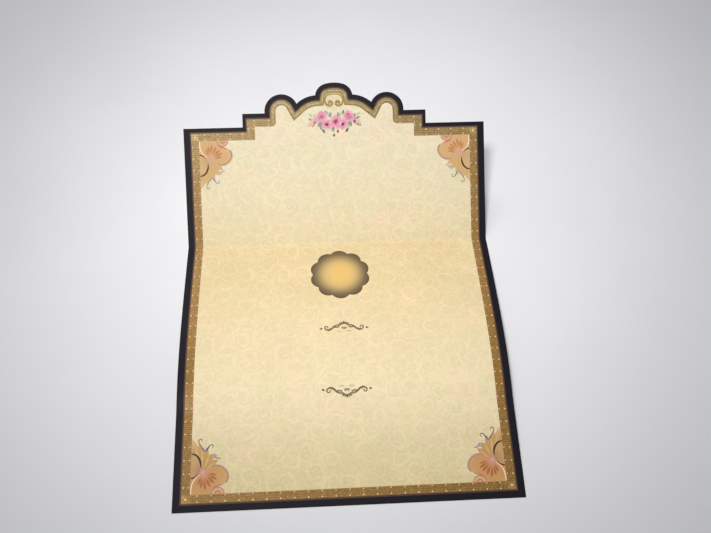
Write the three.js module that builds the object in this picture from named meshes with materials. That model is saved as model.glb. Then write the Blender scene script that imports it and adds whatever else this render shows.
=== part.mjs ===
// A wedding invitation card, as it lies open on a table.
// It is one sheet of stiff card, printed on one side, die-cut along its head and scored twice.
// The flap with the shaped head stands up behind the first crease, the middle panel bows up off the
// table, and the front panel runs down to its straight edge, which touches the table again.
//
// The card is made as a printer makes it: first a flat blank in fields of print, then the folds.
// On the flat blank, u runs across the card and v runs along it, with v = 0 on the first crease,
// the head at positive v and the front edge at negative v.
import * as THREE from "three";

// The sheet, in millimetres. Laid flat it is as large as an A4 sheet, 210 by 297, less a fine trim.
const CARD_WIDTH = 210;
const SHEET_THICKNESS = 0.4;
const FLAP_LENGTH = 82.2;
const MIDDLE_LENGTH = 124;
const FRONT_LENGTH = 60.5;

// The die-cut head. Heights are above the flap's shoulders, and the head is the same on both sides.
// The dome is a three-centred arch: a flat top arc between two tighter arcs.
const STAIR_HALF_SPACING = 64;
const STAIR_HEIGHT = 9.3;
const LOBE_CENTRE_U = 36.7;
const LOBE_CENTRE_HEIGHT = 10.3;
const LOBE_RADIUS = 11.85;
const SADDLE_CENTRE_U = 11.8;
const SADDLE_CENTRE_HEIGHT = -0.4;
const SADDLE_RADIUS = 21.35;
const DOME_HEIGHT = 29.4;
const DOME_TOP_RADIUS = 24;
const DOME_SIDE_RADIUS = 9.4;
const DOME_SIDE_CENTRE_U = 3.7;

// The scored creases. A score raises a bead inside the fold and leaves a groove outside it.
const CREASE_WIDTH = 1.4;
const BEAD_HEIGHT = 0.1;
const GROOVE_DEPTH = 0.12;
const FIRST_FOLD = THREE.MathUtils.degToRad(42.6);
const SECOND_FOLD = THREE.MathUtils.degToRad(9);

// The middle panel's bow: the turn from one crease to the other, most of it near the second crease.
const BOW_TURN = THREE.MathUtils.degToRad(22.6);
const BOW_GROWTH = 3;

// The printed border: the dark edge, then the gold band inside it, in widths square to each edge.
const DARK_EDGE = { side: 5.1, front: 5, shoulder: 3.5, stair: 2.9, arch: 3.7, dome: 3.7 };
const GOLD_BAND = { side: 5.2, front: 5.2, shoulder: 5.4, stair: 5.5, arch: 3.4, dome: 2.2 };

// How finely round stretches are cut into flats.
const ARC_STEP = THREE.MathUtils.degToRad(6);
const CREASE_STEPS = 8;
const BOW_STEPS = 24;

const BORDER = Object.fromEntries(
  Object.keys(DARK_EDGE).map((edge) => [edge, DARK_EDGE[edge] + GOLD_BAND[edge]]),
);
const HEAD_TOP = FLAP_LENGTH + DOME_HEIGHT;
const FRONT_EDGE = -MIDDLE_LENGTH - FRONT_LENGTH;

const darkInk = new THREE.MeshStandardMaterial({ color: 0x2a2630, roughness: 0.45 });
const goldInk = new THREE.MeshStandardMaterial({ color: 0xb08c50, roughness: 0.4, metalness: 0.2 });
const creamInk = new THREE.MeshStandardMaterial({ color: 0xeee0bc, roughness: 0.5 });
const bareCard = new THREE.MeshStandardMaterial({ color: 0xf1ede2, roughness: 0.85 });

// A circle of the head, by its centre on the right half and its radius.
function circle(u, height, radius) {
  return { centre: new THREE.Vector2(u, FLAP_LENGTH + height), radius };
}

// The crossing of two circles that lies further up the head.
function upperCrossing(first, second) {
  const between = second.centre.clone().sub(first.centre);
  const distance = between.length();
  const along = (distance ** 2 + first.radius ** 2 - second.radius ** 2) / (2 * distance);
  const across = Math.sqrt(Math.max(0, first.radius ** 2 - along ** 2));
  const foot = between.clone().setLength(along).add(first.centre);
  const up = new THREE.Vector2(-between.y, between.x).setLength(across);
  return up.y < 0 ? foot.sub(up) : foot.add(up);
}

// Points along a circle, anticlockwise from one of its points to another, ends included exactly.
function arcPoints({ centre, radius }, from, to) {
  const start = from.clone().sub(centre).angle();
  const end = to.clone().sub(centre).angle();
  const curve = new THREE.EllipseCurve(centre.x, centre.y, radius, radius, start, end);
  const points = curve.getPoints(Math.max(2, Math.round((end - start) / ARC_STEP)));
  return [from, ...points.slice(1, -1), to];
}

// The flap's outline from right to left over the head, as runs of points, each along one kind of edge.
// It starts and ends where the flap leaves the first crease, and the card lies on its left.
function flapOutline() {
  const half = CARD_WIDTH / 2;
  const foot = CREASE_WIDTH / 2;
  const tread = FLAP_LENGTH + STAIR_HEIGHT;
  const lobe = circle(LOBE_CENTRE_U, LOBE_CENTRE_HEIGHT, LOBE_RADIUS);
  const saddle = circle(SADDLE_CENTRE_U, SADDLE_CENTRE_HEIGHT, SADDLE_RADIUS);
  const domeTop = circle(0, DOME_HEIGHT - DOME_TOP_RADIUS, DOME_TOP_RADIUS);
  const centresApart = DOME_TOP_RADIUS - DOME_SIDE_RADIUS;
  const sideCentreRise = Math.sqrt(Math.max(0, centresApart ** 2 - DOME_SIDE_CENTRE_U ** 2));
  const domeSide = circle(
    DOME_SIDE_CENTRE_U,
    DOME_HEIGHT - DOME_TOP_RADIUS + sideCentreRise,
    DOME_SIDE_RADIUS,
  );

  const lobeSide = new THREE.Vector2(lobe.centre.x + lobe.radius, lobe.centre.y);
  const cusp = upperCrossing(lobe, saddle);
  const domeFoot = upperCrossing(saddle, domeSide);
  const domeJoin = domeSide.centre.clone().sub(domeTop.centre).setLength(DOME_TOP_RADIUS).add(domeTop.centre);
  const corners = (...pairs) => pairs.map(([u, v]) => new THREE.Vector2(u, v));
  const right = [
    { edge: "side", points: corners([half, foot], [half, FLAP_LENGTH]) },
    { edge: "shoulder", points: corners([half, FLAP_LENGTH], [STAIR_HALF_SPACING, FLAP_LENGTH]) },
    {
      edge: "stair",
      points: corners([STAIR_HALF_SPACING, FLAP_LENGTH], [STAIR_HALF_SPACING, tread], [lobeSide.x, tread]),
    },
    { edge: "arch", points: [new THREE.Vector2(lobeSide.x, tread), ...arcPoints(lobe, lobeSide, cusp)] },
    { edge: "arch", points: arcPoints(saddle, cusp, domeFoot) },
    { edge: "dome", points: arcPoints(domeSide, domeFoot, domeJoin) },
  ];
  const mirrored = (point) => new THREE.Vector2(-point.x, point.y);
  const left = right.map(({ edge, points }) => ({ edge, points: points.map(mirrored).reverse() }));
  const top = { edge: "dome", points: arcPoints(domeTop, domeJoin, mirrored(domeJoin)) };
  return [...right, top, ...left.reverse()];
}

// The same outline with every edge moved inwards by its own width, and the corners mitred.
function insetOutline(runs, widths) {
  const lines = runs.flatMap(({ edge, points }) =>
    points.slice(1).map((to, i) => {
      const from = points[i];
      const direction = to.clone().sub(from).normalize();
      const inwards = new THREE.Vector2(-direction.y, direction.x).multiplyScalar(widths[edge]);
      return { from: from.clone().add(inwards), to: to.clone().add(inwards), direction };
    }),
  );
  const corners = lines.slice(1).map((line, i) => {
    const before = lines[i];
    const gap = line.from.clone().sub(before.to);
    const along = gap.cross(line.direction) / before.direction.cross(line.direction);
    return before.direction.clone().multiplyScalar(along).add(before.to);
  });
  return [lines[0].from, ...corners, lines[lines.length - 1].to];
}

// The folded centreline as stations along v, each with its place in the side view.
// A heading is the slope of the sheet on its way from the front edge to the head.
function foldedStations() {
  const stations = [{ v: FRONT_EDGE, heading: 0, relief: 0 }];
  const goTo = (v, heading, relief = 0) => stations.push({ v, heading, relief });
  const crease = (v, before, turn) => {
    for (let step = 1; step <= CREASE_STEPS; step++) {
      const share = step / CREASE_STEPS;
      const heading = before + (turn * (step - 0.5)) / CREASE_STEPS;
      const relief = (1 - Math.cos(2 * Math.PI * share)) / 2;
      goTo(v + (share - 0.5) * CREASE_WIDTH, heading, relief);
    }
    return before + turn;
  };

  let heading = 0;
  goTo(FRONT_EDGE + DARK_EDGE.front, heading);
  goTo(FRONT_EDGE + BORDER.front, heading);
  goTo(-MIDDLE_LENGTH - CREASE_WIDTH / 2, heading);
  heading = crease(-MIDDLE_LENGTH, heading, SECOND_FOLD);

  const bowLength = MIDDLE_LENGTH - CREASE_WIDTH;
  const afterBow = heading - BOW_TURN;
  for (let step = 1; step <= BOW_STEPS; step++) {
    const toFirstCrease = 1 - (step - 0.5) / BOW_STEPS;
    const v = -CREASE_WIDTH / 2 - bowLength * (1 - step / BOW_STEPS);
    goTo(v, afterBow + BOW_TURN * toFirstCrease ** BOW_GROWTH);
  }
  heading = crease(0, afterBow, FIRST_FOLD);
  goTo(HEAD_TOP, heading);

  const places = [new THREE.Vector2(0, 0)];
  for (let i = 1; i < stations.length; i++) {
    const run = stations[i].v - stations[i - 1].v;
    const step = new THREE.Vector2(run, 0).rotateAround(new THREE.Vector2(), stations[i].heading);
    places.push(places[i - 1].clone().add(step));
  }
  return stations.map((station, i) => {
    const next = stations[i + 1] ?? station;
    const slope = i === 0 ? next.heading : (station.heading + next.heading) / 2;
    const normal = new THREE.Vector2(-Math.sin(slope), Math.cos(slope));
    return { v: station.v, place: places[i], normal, relief: station.relief };
  });
}

// The two faces of the folded sheet at a station, before it is laid down.
function printedFace({ place, normal, relief }) {
  return normal.clone().multiplyScalar(SHEET_THICKNESS / 2 + BEAD_HEIGHT * relief).add(place);
}
function backFace({ place, normal, relief }) {
  return normal.clone().multiplyScalar(GROOVE_DEPTH * relief - SHEET_THICKNESS / 2).add(place);
}

// The card lies on its front edge and on the outside of the first crease, so it is turned about the
// front edge's underside until the lowest of the other points beneath it touches the table too.
const STATIONS = foldedStations();
const REST_POINT = backFace(STATIONS[0]);
const REST_TURN = -Math.min(
  ...STATIONS.slice(1).map((station) => backFace(station).sub(REST_POINT).angle())
    .map((angle) => (angle > Math.PI ? angle - 2 * Math.PI : angle)),
);

// A point of the flat blank, on its printed face or its back, in the folded card's own frame.
function folded({ x: u, y: v }, face) {
  const below = STATIONS.filter((station) => station.v < v).length;
  const i = Math.min(Math.max(below, 1), STATIONS.length - 1);
  const share = (v - STATIONS[i - 1].v) / (STATIONS[i].v - STATIONS[i - 1].v);
  const place = face(STATIONS[i - 1]).lerp(face(STATIONS[i]), share);
  place.sub(REST_POINT).rotateAround(new THREE.Vector2(), REST_TURN);
  return new THREE.Vector3(u, place.x, place.y);
}

// The card's solid, gathered as triangles for each ink.
const inks = [darkInk, goldInk, creamInk, bareCard];
const triangles = new Map(inks.map((ink) => [ink, []]));
function addTriangle(ink, a, b, c) {
  triangles.get(ink).push(a, b, c);
}

// One field of print on the flat blank, with the same field of bare card on the back. Its outline runs
// anticlockwise, so its triangles face up on the printed side.
function addField(ink, outline) {
  for (const corners of THREE.ShapeUtils.triangulateShape(outline, [])) {
    const [a, b, c] = corners.map((corner) => outline[corner]);
    addTriangle(ink, folded(a, printedFace), folded(b, printedFace), folded(c, printedFace));
    addTriangle(bareCard, folded(a, backFace), folded(c, backFace), folded(b, backFace));
  }
}

// The cut edge between the two faces, along a line that keeps the card on its left.
function addCutEdge(outline) {
  for (let i = 1; i < outline.length; i++) {
    const [from, to] = [outline[i - 1], outline[i]];
    const [top, topNext] = [folded(from, printedFace), folded(to, printedFace)];
    const [under, underNext] = [folded(from, backFace), folded(to, backFace)];
    addTriangle(bareCard, under, underNext, topNext);
    addTriangle(bareCard, under, topNext, top);
  }
}

// The flap: the head's dark edge, its gold band inside that, and the cream field.
const flap = flapOutline();
const flapEdge = flap.flatMap(({ points }, i) => points.slice(i === 0 ? 0 : 1));
const darkInner = insetOutline(flap, DARK_EDGE);
const goldInner = insetOutline(flap, BORDER);
addField(darkInk, [...flapEdge, ...darkInner.slice().reverse()]);
addField(goldInk, [...darkInner, ...goldInner.slice().reverse()]);
addField(creamInk, goldInner);

// The rest of the card is a grid of straight fields, cut wherever the sheet bends.
const half = CARD_WIDTH / 2;
const columns = [
  -half,
  DARK_EDGE.side - half,
  BORDER.side - half,
  half - BORDER.side,
  half - DARK_EDGE.side,
  half,
];
const rows = STATIONS.slice(0, -1).map((station) => station.v);
for (let row = 1; row < rows.length; row++) {
  const [low, high] = [rows[row - 1], rows[row]];
  for (let column = 1; column < columns.length; column++) {
    const fromSide = Math.min(column, columns.length - column);
    const ink = [darkInk, goldInk, creamInk][Math.min(fromSide, row) - 1];
    const [left, right] = [columns[column - 1], columns[column]];
    const corners = [[left, low], [right, low], [right, high], [left, high]];
    addField(ink, corners.map(([u, v]) => new THREE.Vector2(u, v)));
  }
}

addCutEdge(flapEdge);
addCutEdge(rows.slice().reverse().map((v) => new THREE.Vector2(-half, v)));
addCutEdge(columns.map((u) => new THREE.Vector2(u, FRONT_EDGE)));
addCutEdge(rows.map((v) => new THREE.Vector2(half, v)));

// One geometry, with a group for each ink, and its origin under the middle of the card.
const geometry = new THREE.BufferGeometry();
geometry.setFromPoints([...triangles.values()].flat());
let start = 0;
inks.forEach((ink, index) => {
  const count = triangles.get(ink).length;
  geometry.addGroup(start, count, index);
  start += count;
});
geometry.computeBoundingBox();
geometry.translate(0, -(geometry.boundingBox.min.y + geometry.boundingBox.max.y) / 2, 0);
geometry.computeVertexNormals();

const invitationCard = new THREE.Mesh(geometry, inks);
invitationCard.name = "invitation_card";

const card = new THREE.Group();
card.add(invitationCard);
export default card;
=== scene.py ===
# %% [markdown]
# The wedding invitation card, dressed
#
# The object is one sheet of stiff card. It is printed on one side, die-cut along its head, scored
# twice and folded, and it lies open on a table with its headed flap standing up at the back.
# The frame is the plain solid from the CAD step. This lesson prints it: it draws every field of
# ink on the flat blank in millimetres, cuts the blank's mesh along those outlines, folds the mesh
# onto the frame's own profile, and gives each ink a procedural material.

# %% Load the frame
import math
import random

import bpy
from mathutils import Euler, Matrix, Vector, geometry


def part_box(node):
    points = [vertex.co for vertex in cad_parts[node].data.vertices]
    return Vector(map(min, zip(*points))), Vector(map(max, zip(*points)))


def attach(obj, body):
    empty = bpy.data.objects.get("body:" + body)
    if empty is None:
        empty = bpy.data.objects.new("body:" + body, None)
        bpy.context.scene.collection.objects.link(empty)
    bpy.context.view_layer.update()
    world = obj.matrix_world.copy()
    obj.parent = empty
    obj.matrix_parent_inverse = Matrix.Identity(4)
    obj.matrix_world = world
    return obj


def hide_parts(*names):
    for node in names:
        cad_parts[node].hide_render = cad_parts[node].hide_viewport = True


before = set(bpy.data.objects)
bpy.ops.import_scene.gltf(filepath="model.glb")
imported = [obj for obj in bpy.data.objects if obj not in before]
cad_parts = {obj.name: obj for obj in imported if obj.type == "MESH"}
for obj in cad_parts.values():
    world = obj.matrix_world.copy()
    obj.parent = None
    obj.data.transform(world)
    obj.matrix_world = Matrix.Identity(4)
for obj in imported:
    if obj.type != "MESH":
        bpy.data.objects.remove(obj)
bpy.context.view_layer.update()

# %% [markdown]
# Camera and framing
#
# A camera is easiest to match when it is described as a person would: where it stands, which way
# it is turned, how far it looks down, and how it is tilted. The photograph looks down on the card
# at about sixty degrees, turned a little to the right. The lens gives the same convergence of the
# card's long sides, and the frame of 711 by 533 is filled in the same way.

# %% Camera
CAMERA_PLACE = Vector((-0.0127, -0.2537, 0.4799))
CAMERA_LOOKS_DOWN = math.radians(59.71)
CAMERA_TURN = math.radians(-4.88)
CAMERA_TILT = math.radians(2.32)
CAMERA_LENS_MM = 40.5

camera_data = bpy.data.cameras.new("camera")
camera_data.lens = CAMERA_LENS_MM
camera_data.sensor_width = 36
camera_data.clip_start = 0.01
camera = bpy.data.objects.new("camera", camera_data)
looking = Euler((math.pi / 2 - CAMERA_LOOKS_DOWN, 0, CAMERA_TURN)).to_matrix()
looking = looking @ Matrix.Rotation(CAMERA_TILT, 3, "Z")
camera.matrix_world = Matrix.Translation(CAMERA_PLACE) @ looking.to_4x4()
bpy.context.collection.objects.link(camera)
bpy.context.scene.camera = camera
print("camera looks along", [round(n, 3) for n in looking @ Vector((0, 0, -1))])

# %% [markdown]
# The flat blank and its folds
#
# On paper a folded card is simple: u runs across it and v runs along it, with v = 0 on the first
# crease. Everything is drawn there in millimetres. One function then carries a flat point to its
# place in the folded card, on the printed face or on the back. Working this way keeps every
# ornament flat and easy to draw, and the folds can't tear or stretch the print.

# %% Sizes of the blank
MM = 0.001
HALF_WIDTH = 105
THICKNESS = 0.4
FLAP = 82.2
MIDDLE = 124
FRONT = 60.5
FRONT_EDGE = -MIDDLE - FRONT
HEAD_TOP = FLAP + 29.4
FLAT_LENGTH = HEAD_TOP - FRONT_EDGE

CREASE_WIDTH = 1.4
BEAD_HEIGHT = 0.1
GROOVE_DEPTH = 0.12
FIRST_FOLD = math.radians(42.6)
SECOND_FOLD = math.radians(9)
BOW_TURN = math.radians(22.6)
BOW_GROWTH = 3
CREASE_STEPS = 8
BOW_STEPS = 24
print("flat size, millimetres:", 2 * HALF_WIDTH, "by", FLAT_LENGTH)


# %% Fold the centreline
def around(centre, angle, reach):
    """The point at an angle and a reach about a centre."""
    return Vector(centre) + Vector((math.cos(angle), math.sin(angle))) * reach


def folded_stations():
    """Places along v where the sheet bends, as (v, place in the side view, normal, relief)."""
    runs = []

    def crease(v, before, turn):
        for step in range(1, CREASE_STEPS + 1):
            share = step / CREASE_STEPS
            heading = before + turn * (step - 0.5) / CREASE_STEPS
            relief = (1 - math.cos(2 * math.pi * share)) / 2
            runs.append((v + (share - 0.5) * CREASE_WIDTH, heading, relief))
        return before + turn

    runs.append((-MIDDLE - CREASE_WIDTH / 2, 0, 0))
    heading = crease(-MIDDLE, 0, SECOND_FOLD) - BOW_TURN
    for step in range(1, BOW_STEPS + 1):
        from_first_crease = 1 - step / BOW_STEPS
        v = -CREASE_WIDTH / 2 - (MIDDLE - CREASE_WIDTH) * from_first_crease
        share = from_first_crease + 0.5 / BOW_STEPS
        runs.append((v, heading + BOW_TURN * share**BOW_GROWTH, 0))
    heading = crease(0, heading, FIRST_FOLD)
    runs.append((HEAD_TOP, heading, 0))

    place = Vector((0, 0))
    headings = [heading for _, heading, _ in runs] + [heading]
    stations = [(FRONT_EDGE, place, Vector((-math.sin(headings[0]), math.cos(headings[0]))), 0)]
    for (v, heading, relief), next_heading in zip(runs, headings[1:]):
        place = around(place, heading, v - stations[-1][0])
        slope = (heading + next_heading) / 2
        stations.append((v, place, Vector((-math.sin(slope), math.cos(slope))), relief))
    return stations


STATIONS = folded_stations()
PRINTED, BACK = 1, -1


def unlaid(station, face):
    """A station's point on one face, before the card is laid on the table."""
    _, place, normal, relief = station
    if face == PRINTED:
        return place + normal * (THICKNESS / 2 + BEAD_HEIGHT * relief)
    return place + normal * (GROOVE_DEPTH * relief - THICKNESS / 2)


# %% [markdown]
# The card rests on its front edge and on the outside of its first crease, so the side view is
# turned about the front edge until the lowest other point touches the table. The frame's own box
# then says where the card's front edge lies, and the two must agree to a hair.

# %% Lay the card down
REST_POINT = unlaid(STATIONS[0], BACK)
rest_slopes = []
for station in STATIONS[1:]:
    offset = unlaid(station, BACK) - REST_POINT
    rest_slopes.append(math.atan2(offset.y, offset.x))
REST_TURN = Matrix.Rotation(-min(rest_slopes), 2)
card_low, card_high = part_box("invitation_card")


def laid(point):
    """A point of the side view, turned until the card lies on the table."""
    return REST_TURN @ (point - REST_POINT)


FRONT_REACH = min(laid(unlaid(STATIONS[0], face)).x for face in (PRINTED, BACK))


def folded(u, v, face):
    """A flat point of one face, carried to its place in the frame, in metres."""
    below = sum(1 for station in STATIONS if station[0] < v - 1e-9)
    i = min(max(below, 1), len(STATIONS) - 1)
    first, second = STATIONS[i - 1], STATIONS[i]
    share = (v - first[0]) / (second[0] - first[0])
    place = unlaid(first, face).lerp(unlaid(second, face), share)
    side_view = laid(place)
    return Vector((u * MM, card_low[1] + (side_view.x - FRONT_REACH) * MM, side_view.y * MM))


print("dome's height, frame and fold:", card_high[2], folded(0, HEAD_TOP, PRINTED).z)

# %% [markdown]
# The die-cut outline and its insets
#
# The head is stairs, lobes, saddles and a three-centred dome, all lines and arcs. The printed
# border follows the same outline further in, so one function moves every edge inwards by its own
# width and mitres the corners. The V under each cusp then deepens by itself, as it does on the
# real print.

# %% Head outline
STAIR_HALF_SPACING = 64
STAIR_HEIGHT = 9.3
LOBE = (Vector((36.7, FLAP + 10.3)), 11.85)
SADDLE = (Vector((11.8, FLAP - 0.4)), 21.35)
DOME_TOP = (Vector((0, HEAD_TOP - 24)), 24)
DOME_SIDE_RADIUS = 9.4
DOME_SIDE_U = 3.7
side_rise = math.sqrt((DOME_TOP[1] - DOME_SIDE_RADIUS) ** 2 - DOME_SIDE_U**2)
DOME_SIDE = (DOME_TOP[0] + Vector((DOME_SIDE_U, side_rise)), DOME_SIDE_RADIUS)
ARC_STEP = math.radians(4)


def arc(circle, start, end):
    """Points along a circle from one angle to another, both included."""
    centre, radius = circle
    steps = max(2, round(abs(end - start) / ARC_STEP))
    return [around(centre, start + (end - start) * i / steps, radius) for i in range(steps + 1)]


def upper_crossing(first, second):
    """Where two circles cross, further up the head."""
    between = second[0] - first[0]
    along = (between.length_squared + first[1] ** 2 - second[1] ** 2) / (2 * between.length)
    across = math.sqrt(first[1] ** 2 - along**2)
    foot = first[0] + between.normalized() * along
    up = Vector((-between.y, between.x)).normalized() * across
    return foot - up if up.y < 0 else foot + up


def angle_to(circle, point):
    """The angle at which a point lies about a circle's centre."""
    offset = point - circle[0]
    return math.atan2(offset.y, offset.x)


def outline_runs():
    """The whole outline anticlockwise from the front's right corner, as (edge, points)."""
    cusp = upper_crossing(LOBE, SADDLE)
    dome_foot = upper_crossing(SADDLE, DOME_SIDE)
    dome_join = angle_to(DOME_TOP, DOME_SIDE[0])
    lobe_side = LOBE[0].x + LOBE[1]
    tread = FLAP + STAIR_HEIGHT
    lobe = [Vector((lobe_side, tread))] + arc(LOBE, 0, angle_to(LOBE, cusp))
    saddle = arc(SADDLE, angle_to(SADDLE, cusp), angle_to(SADDLE, dome_foot))
    dome_side = arc(DOME_SIDE, angle_to(DOME_SIDE, dome_foot), dome_join)
    riser = [Vector((STAIR_HALF_SPACING, FLAP)), Vector((STAIR_HALF_SPACING, tread))]
    right = [
        ("side", [Vector((HALF_WIDTH, FRONT_EDGE)), Vector((HALF_WIDTH, FLAP))]),
        ("shoulder", [Vector((HALF_WIDTH, FLAP)), riser[0]]),
        ("riser", riser),
        ("tread", [riser[1], lobe[0]]),
        ("arch", lobe),
        ("arch", saddle),
        ("dome", dome_side),
    ]
    left = [(edge, [Vector((-p.x, p.y)) for p in reversed(points)]) for edge, points in right]
    top = ("dome", arc(DOME_TOP, dome_join, math.pi - dome_join))
    front = ("front", [Vector((-HALF_WIDTH, FRONT_EDGE)), Vector((HALF_WIDTH, FRONT_EDGE))])
    return right + [top] + left[::-1] + [front]


def inset_outline(widths):
    """The outline with each edge moved inwards by its width, mitred at every corner."""
    lines = []
    for edge, points in RUNS:
        for start, end in zip(points, points[1:]):
            direction = (end - start).normalized()
            inwards = Vector((-direction.y, direction.x)) * widths[edge]
            lines.append((start + inwards, direction))
    corners = []
    for before, line in zip([lines[-1]] + lines[:-1], lines):
        gap = line[0] - before[0]
        turn = before[1].cross(line[1])
        along = gap.cross(line[1]) / turn if abs(turn) > 1e-9 else gap.dot(before[1])
        corners.append(before[0] + before[1] * along)
    return corners


RUNS = outline_runs()
EDGES = ("side", "front", "shoulder", "riser", "tread", "arch", "dome")
DARK = dict(zip(EDGES, (5.1, 5.0, 3.5, 2.9, 3.8, 4.1, 4.0)))
GOLD = dict(zip(EDGES, (5.2, 5.2, 5.4, 5.5, 5.4, 3.6, 3.1)))


def border(share, line=0.0):
    """Widths of an inset that lies a share of the way across the gold band."""
    return {edge: DARK[edge] + GOLD[edge] * share + line for edge in EDGES}


OUTLINE = inset_outline({edge: 0 for edge in EDGES})
print("outline points:", len(OUTLINE))

# %% [markdown]
# A small kit for drawing
#
# Every field of ink is a list of flat polygons with the name of its ink, and a later one covers an
# earlier one, like a stack of printing plates. A pen stroke is a strip of four-sided pieces, so it
# may swell, taper and curl without ever crossing itself.

# %% Drawing kit
plates = []


def fill(ink, polygon):
    """Adds a plate, its outline always taken anticlockwise."""
    points = [Vector(p) for p in polygon]
    area = sum(a.cross(b) for a, b in zip(points, points[1:] + points[:1]))
    plates.append((ink, points if area > 0 else points[::-1]))


def stroke(ink, points, widths):
    """A pen stroke through points. The widths are spread evenly along it."""
    points = [Vector(p) for p in points]
    sides = []
    for i, point in enumerate(points):
        ahead = points[min(i + 1, len(points) - 1)] - points[max(i - 1, 0)]
        across = Vector((-ahead.y, ahead.x)).normalized()
        at = i / (len(points) - 1) * (len(widths) - 1)
        k = min(int(at), len(widths) - 2)
        width = widths[k] + (widths[k + 1] - widths[k]) * (at - k)
        sides.append((point + across * width / 2, point - across * width / 2))
    for (left, right), (next_left, next_right) in zip(sides, sides[1:]):
        piece = [right, next_right, next_left, left]
        fill(ink, [piece[i] for i in geometry.convex_hull_2d(piece)])


def curve(points, steps=6):
    """A smooth line through points, by Catmull and Rom's rule."""
    points = [Vector(p) for p in points]
    padded = [points[0]] + points + [points[-1]]
    smooth = []
    for a, b, c, d in zip(padded, padded[1:], padded[2:], padded[3:]):
        for i in range(steps):
            t = i / steps
            smooth.append(
                (b * 2 + (c - a) * t + (a * 2 - b * 5 + c * 4 - d) * t**2
                 + (b * 3 - a - c * 3 + d) * t**3) / 2
            )
    return smooth + [points[-1]]


def disc(ink, centre, radius, sides=14, stretch=1.0, turn=0.0):
    """A round or oval plate, stretched along its own first axis and turned."""
    spin = Matrix.Rotation(turn, 2)
    angles = [2 * math.pi * i / sides for i in range(sides)]
    ring = [Vector((math.cos(a) * stretch, math.sin(a))) * radius for a in angles]
    fill(ink, [Vector(centre) + spin @ point for point in ring])


def tile(centre, half):
    """A square about a centre."""
    corners = ((-1, -1), (1, -1), (1, 1), (-1, 1))
    return [(centre[0] + half * a, centre[1] + half * b) for a, b in corners]


def leaf(ink, foot, tip, width, belly=0.45):
    """A pointed leaf from its foot to its tip, widest at the belly."""
    foot, tip = Vector(foot), Vector(tip)
    spine = tip - foot
    across = Vector((-spine.y, spine.x)).normalized() * width / 2
    shares = [i / 7 for i in range(1, 7)]
    bulge = [math.sin(math.pi * s ** (math.log(0.5) / math.log(belly))) for s in shares]
    right = [foot + spine * s - across * b for s, b in zip(shares, bulge)]
    left = [foot + spine * s + across * b for s, b in zip(shares, bulge)]
    fill(ink, [foot] + right + [tip] + left[::-1])


def spiral(centre, start, turn, first, last, steps=18):
    """Points that wind about a centre from one radius to another."""
    shares = [i / steps for i in range(steps + 1)]
    return [around(centre, start + turn * s, first * (last / first) ** s) for s in shares]


def mirrored(first):
    """Prints the plates from a number on once more, flipped left to right."""
    for ink, polygon in plates[first:]:
        fill(ink, [(-p.x, p.y) for p in reversed(polygon)])


def lifted_off(first):
    """Takes the plates from a number on off the stack again, to set them elsewhere."""
    drawn = plates[first:]
    del plates[first:]
    return drawn


# %% [markdown]
# The border
#
# The dark edge runs all round, and inside it lies a gold band worked like a mosaic, with rows of
# small pale studs on the straight stretches. The bands are insets of the outline, printed one over
# the other. The studs are stepped along each straight stretch, so they are plates of their own,
# and the mosaic's fine bricks are left to the gold's material.

# %% Bands of the border
fill("brown_line", inset_outline(border(0, -0.9)))
fill("gold", inset_outline(border(0)))
fill("gold_inner", inset_outline(border(1, -0.55)))
fill("cream", inset_outline(border(1)))

STUD_PITCH = 8.05
STUD_RADIUS = 0.5
STUD_FROM_DARK = 0.95
STUD_FROM_CREAM = 0.75


def studs(start, end, inwards, width):
    """Two rows of studs along a straight band, from the corner of its dark side."""
    start, end, inwards = Vector(start), Vector(end), Vector(inwards)
    run = (end - start).length
    units = round(run / STUD_PITCH)
    for i in range(units + 1):
        middle = start.lerp(end, i / max(units, 1))
        disc("stud", middle + inwards * STUD_FROM_DARK, STUD_RADIUS, sides=8)
        disc("stud", middle + inwards * (width - STUD_FROM_CREAM), STUD_RADIUS * 0.85, sides=8)


# %% Studs on the straight bands
side_u = HALF_WIDTH - DARK["side"]
front_v = FRONT_EDGE + DARK["front"]
shoulder_v = FLAP - DARK["shoulder"]
riser_u = STAIR_HALF_SPACING - DARK["riser"]
tread_v = FLAP + STAIR_HEIGHT - DARK["tread"]
lobe_u = LOBE[0].x + LOBE[1] - DARK["arch"]
PAST_CORNER = 9.5
CORNER_MIDDLE = 2.6
CORNER_TILE_HALF = 2.3
CORNER_STUD_RADIUS = 0.75
LOBE_FOOT_RADIUS = 3.2

first_stud = len(plates)
studs((side_u, front_v + PAST_CORNER), (side_u, shoulder_v - PAST_CORNER), (-1, 0), GOLD["side"])
studs((side_u - PAST_CORNER, shoulder_v), (riser_u + 3, shoulder_v), (0, -1), GOLD["shoulder"])
studs((riser_u, shoulder_v + 2.4), (riser_u, tread_v - 4.2), (-1, 0), GOLD["riser"])
studs((riser_u - 5, tread_v), (lobe_u + 1.5, tread_v), (0, -1), GOLD["tread"])
for corner_v in (front_v + CORNER_MIDDLE, shoulder_v - CORNER_MIDDLE):
    corner = (side_u - CORNER_MIDDLE, corner_v)
    fill("corner_gold", tile(corner, CORNER_TILE_HALF))
    disc("stud", corner, CORNER_STUD_RADIUS, sides=10)
mirrored(first_stud)

lobe_foot = Vector((lobe_u - GOLD["arch"], tread_v - GOLD["tread"]))
round_centre = lobe_foot + Vector((LOBE_FOOT_RADIUS, LOBE_FOOT_RADIUS))
foot_round = arc((round_centre, LOBE_FOOT_RADIUS), math.pi, 1.5 * math.pi)
for side in (-1, 1):
    fill("cream", [(side * p.x, p.y) for p in [lobe_foot] + foot_round[::-1]])
studs((-side_u + PAST_CORNER, front_v), (side_u - PAST_CORNER, front_v), (0, 1), GOLD["front"])
print("plates after the border:", len(plates))


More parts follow.
